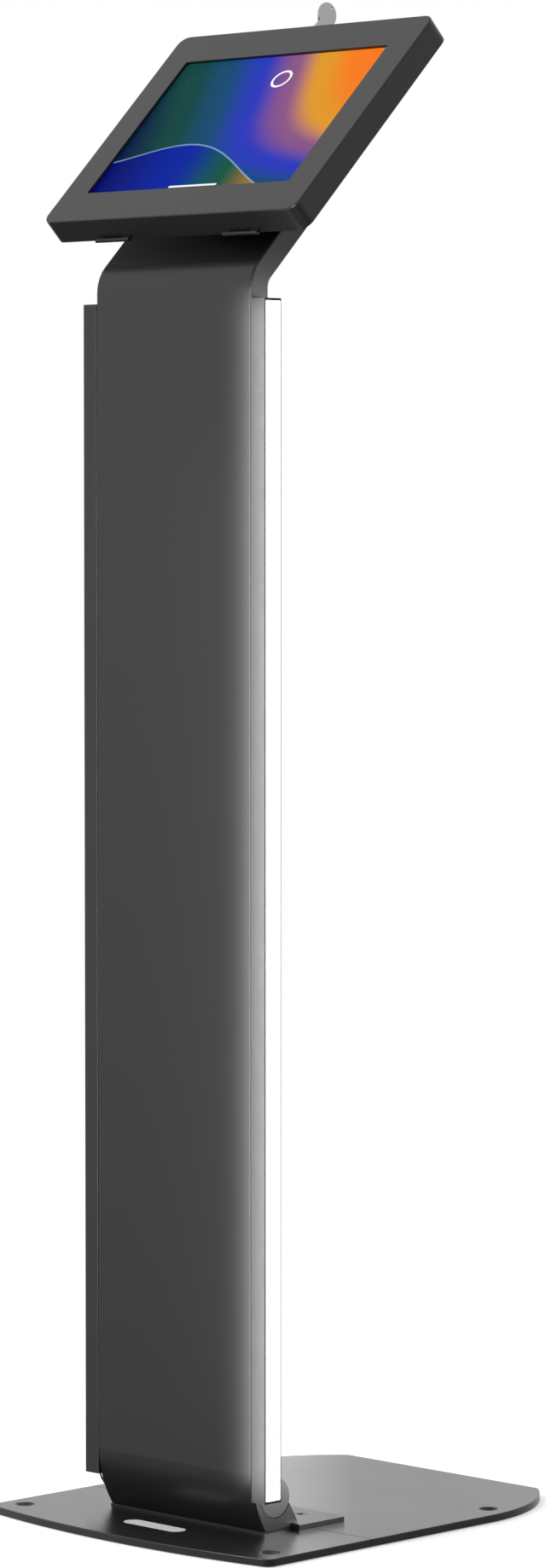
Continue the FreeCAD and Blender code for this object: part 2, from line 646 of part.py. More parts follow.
def led_end_caps():
    caps = []
    for side in (-1, 1):
        for z0, step in ((RETURN_BOTTOM_Z, 1), (LED_TOP_Z - LED_CAP_T, -1)):
            plate = bar_block(side, z0, z0 + LED_CAP_T)
            px0, px1 = sorted((side * (COLUMN_W / 2 + LED_WALL + BOARD_T + 2),
                               side * (COLUMN_W / 2 + LED_W - DIFFUSER_T - 1.2)))
            pz0, pz1 = (z0 + LED_CAP_T, z0 + LED_CAP_T + 3) if step > 0 else (z0 - 3, z0)
            peg = box(px0, px1, LED_WALL + TOUCH, 5.0, pz0, pz1)
            cap = fuse([plate, peg])
            if side < 0 < step:
                start = Vector(side * LEAD_X, LEFT_LEAD_Y, z0 - 1)
                cap = cut(cap, [cylinder(LEAD_R + TOUCH, start, Vector(0, 0, 1), LED_CAP_T + 2)])
            caps.append(cap)
    return caps


def led_screws():
    """From inside the column through its side into the housing wall."""
    inner = COLUMN_W / 2 - SHEET
    return [screw(Vector(side * inner, COLUMN_D / 2, z), Vector(side, 0, 0), LED_SCREW,
                  SHEET + LED_WALL + 1.0)
            for side in (-1, 1) for z in LED_SCREW_Z]


def led_lead(side):
    """Lead from a light bar to the power module.

    The left one hangs in a short loop below its bar before it enters the foot, the right
    one goes straight through the wall behind its bar.
    """
    entry_y, entry_z = LEAD_ENTRY[side]
    bar_x, run_x, module_x = (side * x for x in (LEAD_X, LEAD_RUN_X, MODULE_HALF_W - 15))
    if side < 0:
        points = [Vector(bar_x, LEFT_LEAD_Y, RETURN_BOTTOM_Z + LED_CAP_T + 3.5),
                  Vector(bar_x, LEFT_LEAD_Y, LEFT_LEAD_CORNER_Z),
                  Vector(bar_x, entry_y, entry_z),
                  Vector(run_x, entry_y, entry_z),
                  Vector(run_x, CABLE_Y, FOOT_BEND_TOP_Z - 26)]
        radii = [LEFT_LEAD_LOOP_R] + 5 * [LEAD_BEND_R]
    else:
        points = [Vector(bar_x, entry_y, entry_z + 6),
                  Vector(bar_x, entry_y, entry_z),
                  Vector(run_x, entry_y, entry_z)]
        radii = 4 * [LEAD_BEND_R]
    points += [Vector(run_x, CABLE_Y, MODULE_Z[0] - 40),
               Vector(module_x, CABLE_Y, MODULE_Z[0] - 20),
               Vector(module_x, CABLE_Y, MODULE_Z[0])]
    return cord(points, radii, LEAD_R)


def lead_grommets():
    """Sleeves in the holes that the leads go through; the lip is on the open side."""
    length = SHEET + CHEEK_T
    grommets = []
    for side in (-1, 1):
        out = Vector(side, 0, 0)
        start = Vector(side * (COLUMN_W / 2 - length), *LEAD_ENTRY[side])
        sleeve = cylinder(LEAD_HOLE_R - TOUCH, start, out, length)
        lip_start = start + out * length if side < 0 else start - out * LIP_T
        lip = cylinder(LEAD_HOLE_R + 1, lip_start, out, LIP_T)
        bore = cylinder(LEAD_R + TOUCH, start - out * 2, out, length + 4)
        grommets.append(cut(fuse([sleeve, lip]), [bore]))
    return grommets


def power_module():
    """Sealed supply for the light bars and the tablet, on the back of the front panel."""
    w = MODULE_HALF_W
    z0, z1 = MODULE_Z
    body = box(-w, w, SHEET, SHEET + MODULE_T, z0, z1)
    body = body.makeFillet(1.5, [e for e in body.Edges if abs(e.Vertexes[0].Y - e.Vertexes[1].Y) > 5])
    ears = box(-w - MODULE_EAR, w + MODULE_EAR, SHEET, 2 * SHEET, (z0 + z1) / 2 - 9, (z0 + z1) / 2 + 9)
    holes = [cylinder(1.7, Vector(x, SHEET - 1, (z0 + z1) / 2), Vector(0, 1, 0), SHEET + 2)
             for x in (-w - MODULE_EAR / 2, w + MODULE_EAR / 2)]
    return cut(fuse([body, ears]), holes)


def module_studs():
    """Weld studs with their nuts, one at each ear of the power module."""
    z = sum(MODULE_Z) / 2
    studs = []
    for x in (-MODULE_HALF_W - MODULE_EAR / 2, MODULE_HALF_W + MODULE_EAR / 2):
        stud = cylinder(1.5, Vector(x, SHEET, z), Vector(0, 1, 0), 6.0)
        nut = cylinder(3.2, Vector(x, 2 * SHEET, z), Vector(0, 1, 0), 2.4)
        studs.append(fuse([stud, nut]))
    return studs


# ---------- head ----------

def wall_notch(u):
    """Space in the door's bottom wall for the back plate's hinge knuckle."""
    half = HINGE_MID_LEN / 2 + 0.4
    return box(u - half, u + half, -HEAD_HALF_S - 6, -HEAD_HALF_S + 4, -HEAD_DEPTH - 1, PLATE_N + 0.5)


def hinge_bore(r):
    return [cylinder(r, Vector(u - 30, HINGE_S, HINGE_N), Vector(1, 0, 0), 60) for u in (-HINGE_U, HINGE_U)]


def front_door():
    """Bezel with side walls. Its knuckles are the two outer thirds of each hinge."""
    outer = rounded_block(HEAD_HALF_U, HEAD_HALF_S, -HEAD_DEPTH, 0, HEAD_CORNER_R)
    outer = outer.makeFillet(HEAD_EDGE_R, level_edges(outer, 0))
    inner = rounded_block(HEAD_HALF_U - SHEET, HEAD_HALF_S - SHEET, -HEAD_DEPTH - 1, -SHEET,
                          HEAD_CORNER_R - SHEET)
    window = rounded_block(WINDOW_HALF_U, WINDOW_HALF_S, -HEAD_DEPTH, 5, WINDOW_R)
    door = cut(outer, [inner, window] + [wall_notch(u) for u in (-HINGE_U, HINGE_U)])
    knuckles = []
    for u in (-HINGE_U, HINGE_U):
        for start in (u - HINGE_LEN / 2, u + HINGE_MID_LEN / 2 + 0.2):
            length = (HINGE_LEN - HINGE_MID_LEN) / 2 - 0.2
            roll = cylinder(KNUCKLE_R, Vector(start, HINGE_S, HINGE_N), Vector(1, 0, 0), length)
            web = box(start, start + length, HINGE_S, -HEAD_HALF_S + 1, HINGE_N - 1, HINGE_N + KNUCKLE_R)
            knuckles.append(fuse([roll, web]))
    door = fuse([door] + knuckles)
    lock_hole = cylinder(LOCK_R + 0.1, Vector(0, HEAD_HALF_S - SHEET - 1, LOCK_N), Vector(0, 1, 0), SHEET + 2)
    return in_head(cut(door, hinge_bore(PIN_R + 0.02) + [lock_hole]))


def back_plate():
    """Fixed plate behind the tablet, screwed to the head bracket."""
    clear_u = HEAD_HALF_U - SHEET - 0.5
    s0, s1 = -HEAD_HALF_S + SHEET + 1.2, HEAD_HALF_S - SHEET - 0.5
    plate = box(-clear_u, clear_u, s0, s1, -HEAD_DEPTH, -HEAD_DEPTH + SHEET)
    upright = [e for e in plate.Edges if abs(e.Vertexes[0].Z - e.Vertexes[1].Z) > 1]
    plate = plate.makeFillet(HEAD_CORNER_R - SHEET, upright)
    parts = [plate]
    for u in (-HINGE_U, HINGE_U):
        x0 = u - HINGE_MID_LEN / 2
        parts.append(cylinder(KNUCKLE_R, Vector(x0, HINGE_S, HINGE_N), Vector(1, 0, 0), HINGE_MID_LEN))
        parts.append(box(x0, x0 + HINGE_MID_LEN, HINGE_S, s0 + 1, -HEAD_DEPTH, -HEAD_DEPTH + SHEET))
    plate = fuse(parts)
    tools = hinge_bore(PIN_R + PIN_CLEARANCE)
    places = [(u, s, HEAD_SCREW[0] + PASS_GAP) for u, s in VESA_SCREWS]
    places += [(u, s, ANGLE_SCREW[0] + THREAD_GAP) for u, s in CATCH_SCREWS + CLIP_SCREWS]
    places.append((0, 0, CABLE_HOLE_R))
    tools += [cylinder(r, Vector(u, s, -HEAD_DEPTH - 1), Vector(0, 0, 1), SHEET + 2) for u, s, r in places]
    return in_head(cut(plate, tools))


def hinge_pins():
    return [in_head(cylinder(PIN_R, Vector(u - HINGE_LEN / 2, HINGE_S, HINGE_N), Vector(1, 0, 0), HINGE_LEN))
            for u in (-HINGE_U, HINGE_U)]


def head_bracket():
    """Hat-shaped bracket between the arm and the back plate."""
    top_n, low_n, t, half = -HEAD_DEPTH, ARM_N, BRACKET_T, BRACKET_HALF
    reach = half + BRACKET_FOOT
    top = box(-half, half, -half, half, top_n - t, top_n)
    sides = [box(x, x + t, -half, half, low_n, top_n - t) for x in (-half, half - t)]
    feet = [box(x, x + BRACKET_FOOT, -half, half, low_n, low_n + t) for x in (-reach, half)]
    places = [(u, s, top_n - t, HEAD_SCREW[0] + THREAD_GAP) for u, s in VESA_SCREWS]
    places += [(u, s, low_n, ARM_SCREW[0] + THREAD_GAP) for u, s in ARM_SCREWS]
    places.append((0, 0, top_n - t, CABLE_HOLE_R))
    holes = [cylinder(r, Vector(u, s, n - 1), Vector(0, 0, 1), t + 2) for u, s, n, r in places]
    return in_head(cut(fuse([top] + sides + feet), holes))


def head_screws():
    return [in_head(screw(Vector(u, s, PLATE_N), Vector(0, 0, -1), HEAD_SCREW, SHEET + 4.5))
            for u, s in VESA_SCREWS]


def arm_screws():
    return [in_head(screw(Vector(u, s, ARM_N - SHEET), Vector(0, 0, 1), ARM_SCREW, SHEET + 2.8))
            for u, s in ARM_SCREWS]


def angle_screws(places):
    return [in_head(screw(Vector(u, s, PLATE_N + ANGLE_T), Vector(0, 0, -1), ANGLE_SCREW, ANGLE_T + SHEET))
            for u, s in places]


def catch_bracket():
    """Angle on the back plate with a portal; the turned cam sits under its bar."""
    u0, u1 = CATCH_U
    s0, s1 = CATCH_S
    foot = box(u0, u1, s0, s1, PLATE_N, PLATE_N + ANGLE_T)
    leaf = box(u0, u0 + CATCH_LEAF_T, s0, s1 - 5, PLATE_N, -SHEET - 0.9)
    window = box(u0 - 1, u0 + CATCH_LEAF_T + 1, CAM_S - 1.2, CAM_S + CAM_T + 2, PLATE_N + ANGLE_T,
                 LOCK_N + CAM_HALF_W + 0.5)
    holes = [cylinder(ANGLE_SCREW[0] + PASS_GAP, Vector(u, s, PLATE_N - 1), Vector(0, 0, 1), 4)
             for u, s in CATCH_SCREWS]
    return in_head(cut(fuse([foot, leaf]), [window] + holes))


def lock_body():
    up = Vector(0, 1, 0)
    barrel = cylinder(LOCK_R, Vector(0, BARREL_END_S, LOCK_N), up, LOCK_TOP_S - BARREL_END_S)
    collar = cylinder(COLLAR_R, Vector(0, HEAD_HALF_S, LOCK_N), up, COLLAR_T)
    bore = cylinder(CORE_R + CORE_CLEARANCE, Vector(0, BARREL_END_S - 1, LOCK_N), up, 40)
    return in_head(cut(fuse([barrel, collar]), [bore]))


def lock_nut():
    top = HEAD_HALF_S - SHEET
    nut = hexagon(LOCK_R + 1.2, Vector(0, top, LOCK_N), Vector(0, -1, 0), LOCK_NUT_T)
    thread = cylinder(LOCK_R + THREAD_GAP, Vector(0, top - LOCK_NUT_T - 1, LOCK_N), Vector(0, 1, 0),
                      LOCK_NUT_T + 2)
    return in_head(cut(nut, [thread]))


def lock_core():
    up = Vector(0, 1, 0)
    core = cylinder(CORE_R, Vector(0, CAM_S + CAM_T, LOCK_N), up, LOCK_TOP_S - CAM_S - CAM_T)
    spigot = box(-SPIGOT, SPIGOT, CAM_S, CAM_S + CAM_T + 1, LOCK_N - SPIGOT, LOCK_N + SPIGOT)
    slot_t, slot_w = KEY_HALF_T + TOUCH, KEY_HALF_W + TOUCH
    keyway = box(-slot_t, slot_t, BLADE_END_S - 0.3, LOCK_TOP_S + 1, LOCK_N - slot_w, LOCK_N + slot_w)
    screw_hole = cylinder(CAM_SCREW[0] + THREAD_GAP, Vector(0, CAM_S - 1, LOCK_N), up, 5.0)
    return in_head(cut(fuse([core, spigot]), [keyway, screw_hole]))


def lock_cam():
    """Round-ended arm; at rest it points to the back plate, clear of the catch."""
    tip_n = LOCK_N - CAM_REACH + CAM_HALF_W
    parts = [box(-CAM_HALF_W, CAM_HALF_W, CAM_S, CAM_S + CAM_T, tip_n, LOCK_N),
             cylinder(CAM_HALF_W, Vector(0, CAM_S, LOCK_N), Vector(0, 1, 0), CAM_T),
             cylinder(CAM_HALF_W, Vector(0, CAM_S, tip_n), Vector(0, 1, 0), CAM_T)]
    hole = SPIGOT + TOUCH
    square = box(-hole, hole, CAM_S - 1, CAM_S + CAM_T + 1, LOCK_N - hole, LOCK_N + hole)
    return in_head(cut(fuse(parts), [square]))


def cam_screw():
    return in_head(screw(Vector(0, CAM_S, LOCK_N), Vector(0, 1, 0), CAM_SCREW, 3.6))


def key():
    """Round flat bow, square to the display's width, with a ring hole near its far edge."""
    blade = box(-KEY_HALF_T, KEY_HALF_T, BLADE_END_S, KEY_BOW_S, LOCK_N - KEY_HALF_W, LOCK_N + KEY_HALF_W)
    for i, depth in enumerate((1.2, 0.6, 1.5, 0.9)):
        s = BLADE_END_S + 2.2 + 2.6 * i
        blade = cut(blade, [box(-2, 2, s, s + 1.3, LOCK_N + KEY_HALF_W - depth, LOCK_N + KEY_HALF_W + 1)])
    shoulder = box(-KEY_HALF_T, KEY_HALF_T, LOCK_TOP_S + 2.5, KEY_BOW_S,
                   LOCK_N - KEY_STEM_HALF_W, LOCK_N + KEY_STEM_HALF_W)
    bow = cylinder(KEY_BOW_R, Vector(-KEY_HALF_T, KEY_BOW_S, LOCK_N), Vector(1, 0, 0), 2 * KEY_HALF_T)
    bow = bow.makeChamfer(0.4, [e for e in bow.Edges if len(e.Vertexes) == 1])
    ring_hole = cylinder(1.2, Vector(-3, KEY_BOW_S + 7.8, LOCK_N + 0.8), Vector(1, 0, 0), 6)
    return in_head(cut(fuse([blade, shoulder, bow]), [ring_hole]))


# ---------- tablet ----------

def tablet_body():
    """Shallow metal tray that carries the display and the cover glass."""
    front = TABLET_FRONT_N - GLASS_T
    back = TABLET_FRONT_N - TABLET_T
    body = rounded_block(TABLET_HALF_U, TABLET_HALF_S, back, front, TABLET_CORNER_R)
    body = body.makeFillet(1.5, level_edges(body, back))
    pocket = rounded_block(*DISPLAY_HALF, front - DISPLAY_T, front + 1, DISPLAY_R)
    port = box(-TABLET_HALF_U - 1, -TABLET_HALF_U + 7, -PORT_HALF_W, PORT_HALF_W,
               PORT_N - PORT_HALF_T, PORT_N + PORT_HALF_T)
    return in_head(cut(body, [pocket, port]))


def tablet_display():
    front = TABLET_FRONT_N - GLASS_T
    half_u, half_s = (half - TOUCH for half in DISPLAY_HALF)
    return in_head(rounded_block(half_u, half_s, front - DISPLAY_T + TOUCH, front - TOUCH, DISPLAY_R - TOUCH))


def tablet_glass():
    return in_head(rounded_block(TABLET_HALF_U, TABLET_HALF_S, TABLET_FRONT_N - GLASS_T, TABLET_FRONT_N,
                                 TABLET_CORNER_R))


def bezel_gasket():
    outer = rounded_block(WINDOW_HALF_U + GASKET_W, WINDOW_HALF_S + GASKET_W, -SHEET - GASKET_T, -SHEET, 8.0)
    inner = rounded_block(WINDOW_HALF_U + 1, WINDOW_HALF_S + 1, -SHEET - 2, -SHEET + 1, WINDOW_R)
    return in_head(cut(outer, [inner]))


def tablet_pads():
    return [in_head(box(u - 14, u + 14, s - 14, s + 14, PLATE_N, TABLET_FRONT_N - TABLET_T)) for u, s in PADS]


def tablet_clips():
    """Four angles on the back plate that stop the tablet's long edges."""
    edge = TABLET_HALF_S + 0.2
    clips = []
    for u, s in CLIP_SCREWS:
        side = 1 if s > 0 else -1
        leaf_s = sorted((side * edge, side * (edge + ANGLE_T)))
        foot_s = sorted((side * edge, side * (abs(s) + 4.5)))
        leaf = box(u - 8, u + 8, *leaf_s, PLATE_N, TABLET_FRONT_N - 1.2)
        foot = box(u - 8, u + 8, *foot_s, PLATE_N, PLATE_N + ANGLE_T)
        hole = cylinder(ANGLE_SCREW[0] + PASS_GAP, Vector(u, s, PLATE_N - 1), Vector(0, 0, 1), 4)
        clips.append(in_head(cut(fuse([leaf, foot]), [hole])))
    return clips


def cable_grommet():
    up = Vector(0, 0, 1)
    sleeve = cylinder(CABLE_HOLE_R - TOUCH, Vector(0, 0, -HEAD_DEPTH - 3), up, SHEET + 3)
    lip = cylinder(CABLE_HOLE_R + 2, Vector(0, 0, PLATE_N), up, 1.0)
    return in_head(cut(fuse([sleeve, lip]), [cylinder(6.0, Vector(0, 0, -HEAD_DEPTH - 4), up, 10)]))


# ---------- write every node ----------

os.makedirs("parts", exist_ok=True)
front_plate, rear_plate = base_plates()
NODES = {
    "base_front_plate": [front_plate],
    "base_rear_plate": [rear_plate],
    "foot_bracket": [foot_bracket()],
    "base_screws": base_screws(),
    "foot_screws": foot_screws(),
    "cross_tube": [cross_tube()],
    "tube_caps": tube_caps(),
    "column_shell": [column_shell()],
    "column_ribs": column_ribs(),
    "rear_cover": [rear_cover()],
    "cover_screws": cover_screws(),
    "led_housing_left": [led_housing(-1)],
    "led_housing_right": [led_housing(1)],
    "led_diffuser_left": [led_diffuser(-1)],
    "led_diffuser_right": [led_diffuser(1)],
    "led_board_left": [led_board(-1)],
    "led_board_right": [led_board(1)],
    "led_end_caps": led_end_caps(),
    "led_screws": led_screws(),
    "led_lead_left": [led_lead(-1)],
    "led_lead_right": [led_lead(1)],
    "lead_grommets": lead_grommets(),
    "power_module": [power_module()],
    "module_studs": module_studs(),
    "head_bracket": [head_bracket()],
    "arm_screws": arm_screws(),
    "head_screws": head_screws(),
    "back_plate": [back_plate()],
    "hinge_pins": hinge_pins(),
    "front_door": [front_door()],
    "bezel_gasket": [bezel_gasket()],
    "catch_bracket": [catch_bracket()],
    "catch_screws": angle_screws(CATCH_SCREWS),
    "lock_body": [lock_body()],
    "lock_nut": [lock_nut()],
    "lock_core": [lock_core()],
    "lock_cam": [lock_cam()],
    "cam_screw": [cam_screw()],
    "key": [key()],
    "tablet_body": [tablet_body()],
    "tablet_display": [tablet_display()],
    "tablet_glass": [tablet_glass()],
    "tablet_pads": tablet_pads(),
    "tablet_clips": tablet_clips(),
    "clip_screws": angle_screws(CLIP_SCREWS),
    "cable_grommet": [cable_grommet()],
}
for node_name, node_solids in NODES.items():
    export(node_name, node_solids)
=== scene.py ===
import json
import math
import bmesh
import bpy
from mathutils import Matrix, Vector


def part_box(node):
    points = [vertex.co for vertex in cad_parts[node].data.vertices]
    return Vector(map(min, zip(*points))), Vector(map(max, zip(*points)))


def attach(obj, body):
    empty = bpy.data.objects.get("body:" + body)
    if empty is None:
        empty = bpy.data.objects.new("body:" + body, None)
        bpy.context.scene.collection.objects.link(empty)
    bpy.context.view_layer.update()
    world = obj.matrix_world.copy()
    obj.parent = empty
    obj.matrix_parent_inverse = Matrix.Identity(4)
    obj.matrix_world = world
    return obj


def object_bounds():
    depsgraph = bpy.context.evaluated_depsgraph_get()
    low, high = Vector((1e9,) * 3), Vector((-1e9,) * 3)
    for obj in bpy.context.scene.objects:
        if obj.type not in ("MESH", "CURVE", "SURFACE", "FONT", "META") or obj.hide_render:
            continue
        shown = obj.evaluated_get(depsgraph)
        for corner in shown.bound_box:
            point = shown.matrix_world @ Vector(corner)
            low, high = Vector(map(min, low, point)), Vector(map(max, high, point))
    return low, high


# Touchscreen floor kiosk. Metres, +Z up, front towards -Y, X across the width.

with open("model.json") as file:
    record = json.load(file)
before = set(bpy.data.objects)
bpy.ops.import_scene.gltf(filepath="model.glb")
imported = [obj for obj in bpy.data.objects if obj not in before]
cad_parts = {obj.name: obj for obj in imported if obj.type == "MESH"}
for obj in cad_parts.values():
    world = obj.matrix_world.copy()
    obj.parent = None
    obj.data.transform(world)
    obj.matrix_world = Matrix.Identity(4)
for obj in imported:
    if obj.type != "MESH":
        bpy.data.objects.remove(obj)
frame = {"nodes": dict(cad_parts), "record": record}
CAD_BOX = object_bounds()
NODES = frame["nodes"]

MM = 0.001
HEAD_TILT = math.radians(45)


# ---------- node helpers ----------

# Socket numbers of a colour Mix node, whose names repeat for each data type.
MIX_FACTOR, MIX_A, MIX_B, MIX_RESULT = 0, 6, 7, 2


class Field:
    """A value inside a material's node tree. Arithmetic on it makes Math nodes."""

    def __init__(self, tree, socket):
        self.tree, self.socket = tree, socket

    def math(self, operation, *others):
        node = self.tree.nodes.new("ShaderNodeMath")
        node.operation = operation
        for slot, value in zip(node.inputs, (self, *others)):
            put(self.tree, slot, value)
        return Field(self.tree, node.outputs[0])

    def __add__(self, other):
        return self.math("ADD", other)

    def __sub__(self, other):
        return self.math("SUBTRACT", other)

    def __mul__(self, other):
        return self.math("MULTIPLY", other)

    def sin(self):
        return self.math("SINE")

    def abs(self):
        return self.math("ABSOLUTE")

    def hypot(self, other):
        return (self * self + other * other).math("SQRT")

    def step(self, low, high):
        """0 at low, 1 at high, smooth in between."""
        node = self.tree.nodes.new("ShaderNodeMapRange")
        node.interpolation_type = "SMOOTHSTEP"
        for name, value in (("Value", self), ("From Min", low), ("From Max", high)):
            put(self.tree, node.inputs[name], value)
        return Field(self.tree, node.outputs["Result"])


def put(tree, socket, value):
    """Link a Field or socket into an input, or set a plain value."""
    if isinstance(value, Field):
        value = value.socket
    if isinstance(value, bpy.types.NodeSocket):
        tree.links.new(value, socket)
    else:
        socket.default_value = value


def add_node(tree, kind, settings=(), **inputs):
    """New shader node. settings are its attributes; input names are given with _ for a space."""
    node = tree.nodes.new("ShaderNode" + kind)
    for name, value in dict(settings).items():
        setattr(node, name, value)
    for name, value in inputs.items():
        put(tree, node.inputs[name.replace("_", " ")], value)
    return node


def new_material(name):
    """New material, with its node tree and its shader."""
    material = bpy.data.materials.new(name)
    material.use_nodes = True
    tree = material.node_tree
    shader = tree.nodes["Principled BSDF"]
    return material, tree, shader


def object_point(tree, location=(0, 0, 0), rotation=(0, 0, 0), scale=(1, 1, 1), kind="POINT"):
    """The shaded point in the object's own metres, moved, turned or stretched."""
    coords = add_node(tree, "TexCoord")
    return add_node(tree, "Mapping", {"vector_type": kind}, Vector=coords.outputs["Object"],
                    Location=location, Rotation=rotation, Scale=scale).outputs["Vector"]


def noise(tree, point, scale, detail=2.0, roughness=0.5):
    """Noise from 0 to 1. scale is in cells per metre."""
    node = add_node(tree, "TexNoise", Vector=point, Scale=scale, Detail=detail, Roughness=roughness)
    return Field(tree, node.outputs["Fac"])


def ramp(tree, value, stops, mode="LINEAR"):
    """Colour ramp with (position, (r, g, b)) stops."""
    node = add_node(tree, "ValToRGB", Fac=value)
    node.color_ramp.interpolation = mode
    elements = node.color_ramp.elements
    while len(elements) < len(stops):
        elements.new(1.0)
    for element, (position, colour) in zip(elements, stops):
        element.position = position
        element.color = (*colour, 1)
    return node.outputs["Color"]


def mix(tree, factor, a, b):
    """Colour a at factor 0 and b at factor 1. Plain colours are (r, g, b)."""
    node = add_node(tree, "Mix", {"data_type": "RGBA"})
    for number, value in ((MIX_FACTOR, factor), (MIX_A, a), (MIX_B, b)):
        put(tree, node.inputs[number], (*value, 1) if isinstance(value, tuple) else value)
    return node.outputs[MIX_RESULT]


def bump(tree, height, distance, strength):
    return add_node(tree, "Bump", Height=height, Distance=distance, Strength=strength).outputs["Normal"]


# ---------- materials ----------

DIFFUSER_GLOW = 5.0
LED_PITCH = 30 * MM
STRIP_GLOW = 0.4
GLASS_IOR = 1.02  # mirrors next to nothing, as glass with an anti-reflective coat does
BLACK_PRINT_FROM = (0.5 * MM, 0.6 * MM)  # distance out of the middle of the display panel

SCREEN_GLOW = 1.0
SCREEN_ARCS = ((0.0, (1.0, 0.12, 0.005)), (0.26, (0.95, 0.20, 0.01)), (0.38, (0.75, 0.32, 0.02)),
               (0.46, (0.25, 0.09, 0.25)), (0.54, (0.02, 0.04, 0.50)), (0.63, (0.005, 0.07, 0.16)),
               (0.72, (0.004, 0.06, 0.05)), (0.88, (0.001, 0.012, 0.06)))
SCREEN_SWELL = ((0.0, (0.0, 0.002, 0.14)), (0.35, (0.0, 0.015, 0.35)), (0.6, (0.005, 0.09, 0.06)),
                (0.8, (0.35, 0.18, 0.02)), (1.0, (0.95, 0.15, 0.005)))


def shade(colour, share):
    """The colour made darker or lighter."""
    return tuple(channel * share for channel in colour)


def powder_coat(name, colour, roughness, grain=1.0):
    """Baked powder paint: fine orange peel, slightly uneven gloss and a trace of dust."""
    material, tree, shader = new_material(name)
    point = object_point(tree)
    peel = noise(tree, point, 900, 2)
    drift = noise(tree, point, 9, 3)
    dust = noise(tree, point, 260, 4, 0.7).step(0.62, 0.8)
    base = mix(tree, drift, shade(colour, 0.9), shade(colour, 1.1))
    put(tree, shader.inputs["Base Color"], mix(tree, dust * 0.05, base, (0.3, 0.3, 0.29)))
    put(tree, shader.inputs["Roughness"], drift * 0.06 + dust * 0.06 + (roughness - 0.03))
    put(tree, shader.inputs["Normal"], bump(tree, peel, 0.03 * MM * grain, 0.5))
    return material


def brushed_metal(name, colour, roughness, along=(1, 1, 40), metallic=1.0):
    """Metal with fine drawn lines and faint handling marks."""
    material, tree, shader = new_material(name)
    lines = noise(tree, object_point(tree, scale=along), 1200, 2)
    cloud = noise(tree, object_point(tree), 120, 3)
    wear = lines * 0.5 + cloud * 0.5
    put(tree, shader.inputs["Base Color"], mix(tree, wear, shade(colour, 0.82), colour))
    put(tree, shader.inputs["Roughness"], lines * 0.12 + cloud * 0.1 + (roughness - 0.1))
    put(tree, shader.inputs["Normal"], bump(tree, lines, 0.015 * MM, 0.5))
    shader.inputs["Metallic"].default_value = metallic
    return material


def moulded_plastic(name, colour, roughness):
    """Matt moulded plastic with a fine spark-eroded texture."""
    material, tree, shader = new_material(name)
    point = object_point(tree)
    cells = add_node(tree, "TexVoronoi", Vector=point, Scale=1400.0)
    cloud = noise(tree, point, 60, 3)
    put(tree, shader.inputs["Base Color"], mix(tree, cloud, shade(colour, 0.88), colour))
    put(tree, shader.inputs["Roughness"], cloud * 0.1 + (roughness - 0.05))
    put(tree, shader.inputs["Normal"], bump(tree, cells.outputs["Distance"], 0.03 * MM, 0.4))
    return material


def foam_rubber(name, colour):
    """Soft black foam or rubber with open pores."""
    material, tree, shader = new_material(name)
    point = object_point(tree)
    pores = add_node(tree, "TexVoronoi", Vector=point, Scale=1100.0).outputs["Distance"]
    # The pits of the pores are painted darker: painted shade in the recesses, on the same pattern as the
    # bump.
    put(tree, shader.inputs["Base Color"], mix(tree, pores, shade(colour, 0.5), colour))
    shader.inputs["Roughness"].default_value = 0.85
    put(tree, shader.inputs["Normal"], bump(tree, pores, 0.1 * MM, 0.6))
    return material


def lit_diffuser():
    """Opal cover of a light bar: white and glowing, with a faint ripple from the chips behind it."""
    material, tree, shader = new_material("opal_diffuser")
    point = object_point(tree)
    height = Field(tree, add_node(tree, "SeparateXYZ", Vector=point).outputs["Z"])
    chips = (height * (2 * math.pi / LED_PITCH)).sin() * 0.02 + 1.0
    grain = noise(tree, point, 700, 2)
    shader.inputs["Base Color"].default_value = (0.9, 0.9, 0.91, 1)
    put(tree, shader.inputs["Roughness"], grain * 0.1 + 0.35)
    shader.inputs["Emission Color"].default_value = (1, 1, 1, 1)
    put(tree, shader.inputs["Emission Strength"], chips * DIFFUSER_GLOW)
    return material


def led_strip():
    """White solder mask with a grid of copper tracks, softly lit by its chips."""
    material, tree, shader = new_material("led_strip")
    point = object_point(tree)
    mask = add_node(tree, "TexBrick", {"offset": 0.0}, Vector=point, Scale=60.0,
                    Color1=(0.86, 0.86, 0.82, 1), Color2=(0.8, 0.8, 0.76, 1), Mortar=(0.5, 0.36, 0.2, 1))
    put(tree, shader.inputs["Base Color"], mask.outputs["Color"])
    put(tree, shader.inputs["Roughness"], noise(tree, point, 300) * 0.2 + 0.4)
    shader.inputs["Emission Color"].default_value = (1, 1, 1, 1)
    shader.inputs["Emission Strength"].default_value = STRIP_GLOW
    return material


def cover_glass():
    """Clear anti-reflective glass with faint smears."""
    material, tree, shader = new_material("cover_glass")
    smear = noise(tree, object_point(tree, scale=(1, 1, 3)), 18, 4, 0.6)
    shader.inputs["Base Color"].default_value = (1, 1, 1, 1)
    put(tree, shader.inputs["Roughness"], smear.step(0.55, 0.8) * 0.03)
    shader.inputs["Transmission Weight"].default_value = 1.0
    shader.inputs["IOR"].default_value = GLASS_IOR
    return material


def display_axes(tree):
    """Distances from the middle of the display panel: across, up the slope and out of it."""
    low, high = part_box("tablet_display")
    point = object_point(tree, location=(low + high) / 2, rotation=(HEAD_TILT, 0, 0), kind="TEXTURE")
    axes = add_node(tree, "SeparateXYZ", Vector=point)
    return [Field(tree, axes.outputs[axis]) for axis in "XYZ"]


